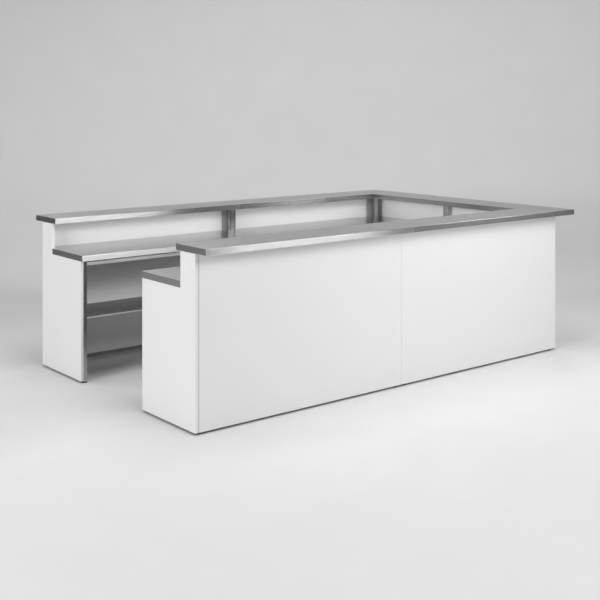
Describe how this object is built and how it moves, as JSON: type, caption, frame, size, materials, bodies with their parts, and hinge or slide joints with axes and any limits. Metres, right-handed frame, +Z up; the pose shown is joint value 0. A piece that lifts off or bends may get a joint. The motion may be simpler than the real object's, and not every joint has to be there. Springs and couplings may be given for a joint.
{
  "type": "bar counter with shelves",
  "caption": "U-shaped bar counter: white outer walls under a raised steel bar top, with a lower steel worktop and open shelves on the staff side, on levelling feet.",
  "frame": {"origin": "centre of the footprint of the bar top, on the floor under the screwed-in levelling feet", "axes": "+X along the two long runs, from the open end of the U to the end run; +Y from the front run to the back run; +Z up"},
  "size_m": [3.51, 2.32, 1.125],
  "materials": {
    "stainless_top": "brushed stainless steel, grain along each run",
    "core_board": "raw chipboard",
    "white_laminate": "white matt laminate on board",
    "frame_steel": "satin stainless square tube",
    "shelf_steel": "satin stainless sheet",
    "post_steel": "brushed stainless sheet, grain upwards",
    "zinc_plated_steel": "zinc plated",
    "black_rubber": "black rubber strip",
    "foot_plastic": "black moulded plastic"
  },
  "bodies": {
    "counter": {"bar_top_skin_front_left": "stainless_top", "bar_top_core_front_left": "core_board", "worktop_skin_front_left": "stainless_top", "worktop_core_front_left": "core_board", "lining_front_left": "white_laminate", "frame_front_left": "frame_steel", "shelf_front_left": "shelf_steel", "bar_top_skin_front_right": "stainless_top", "bar_top_core_front_right": "core_board", "worktop_skin_front_right": "stainless_top", "worktop_core_front_right": "core_board", "lining_front_right": "white_laminate", "frame_front_right": "frame_steel", "shelf_front_right": "shelf_steel", "bar_top_skin_end": "stainless_top", "bar_top_core_end": "core_board", "worktop_skin_end": "stainless_top", "worktop_core_end": "core_board", "lining_end": "white_laminate", "frame_end": "frame_steel", "shelf_end": "shelf_steel", "bar_top_skin_back_right": "stainless_top", "bar_top_core_back_right": "core_board", "worktop_skin_back_right": "stainless_top", "worktop_core_back_right": "core_board", "lining_back_right": "white_laminate", "frame_back_right": "frame_steel", "shelf_back_right": "shelf_steel", "bar_top_skin_back_left": "stainless_top", "bar_top_core_back_left": "core_board", "worktop_skin_back_left": "stainless_top", "worktop_core_back_left": "core_board", "lining_back_left": "white_laminate", "frame_back_left": "frame_steel", "shelf_back_left": "shelf_steel", "end_panel_front": "white_laminate", "guest_panel_front_left": "white_laminate", "guest_panel_front_right": "white_laminate", "post_front_joint_left": "post_steel", "post_front_joint_right": "post_steel", "post_front_corner": "post_steel", "end_panel_back": "white_laminate", "guest_panel_back_left": "white_laminate", "guest_panel_back_right": "white_laminate", "post_back_joint_left": "post_steel", "post_back_joint_right": "post_steel", "post_back_corner": "post_steel", "guest_panel_end_front": "white_laminate", "guest_panel_end_back": "white_laminate", "post_end": "post_steel", "foot_bushes": "zinc_plated_steel", "worktop_packers": "black_rubber", "joining_bolts": "zinc_plated_steel"},
    "levelling_feet_front_left": {"feet_front_left": "foot_plastic"},
    "levelling_feet_front_right": {"feet_front_right": "foot_plastic"},
    "levelling_feet_end": {"feet_end": "foot_plastic"},
    "levelling_feet_back_right": {"feet_back_right": "foot_plastic"},
    "levelling_feet_back_left": {"feet_back_left": "foot_plastic"}
  },
  "joints": [
    {"name": "level_front_left", "type": "slide", "parent": "counter", "child": "levelling_feet_front_left", "axis": [0, 0, -1], "range_m": [0, 0.015]},
    {"name": "level_front_right", "type": "slide", "parent": "counter", "child": "levelling_feet_front_right", "axis": [0, 0, -1], "range_m": [0, 0.015]},
    {"name": "level_end", "type": "slide", "parent": "counter", "child": "levelling_feet_end", "axis": [0, 0, -1], "range_m": [0, 0.015]},
    {"name": "level_back_right", "type": "slide", "parent": "counter", "child": "levelling_feet_back_right", "axis": [0, 0, -1], "range_m": [0, 0.015]},
    {"name": "level_back_left", "type": "slide", "parent": "counter", "child": "levelling_feet_back_left", "axis": [0, 0, -1], "range_m": [0, 0.015]}
  ]
}
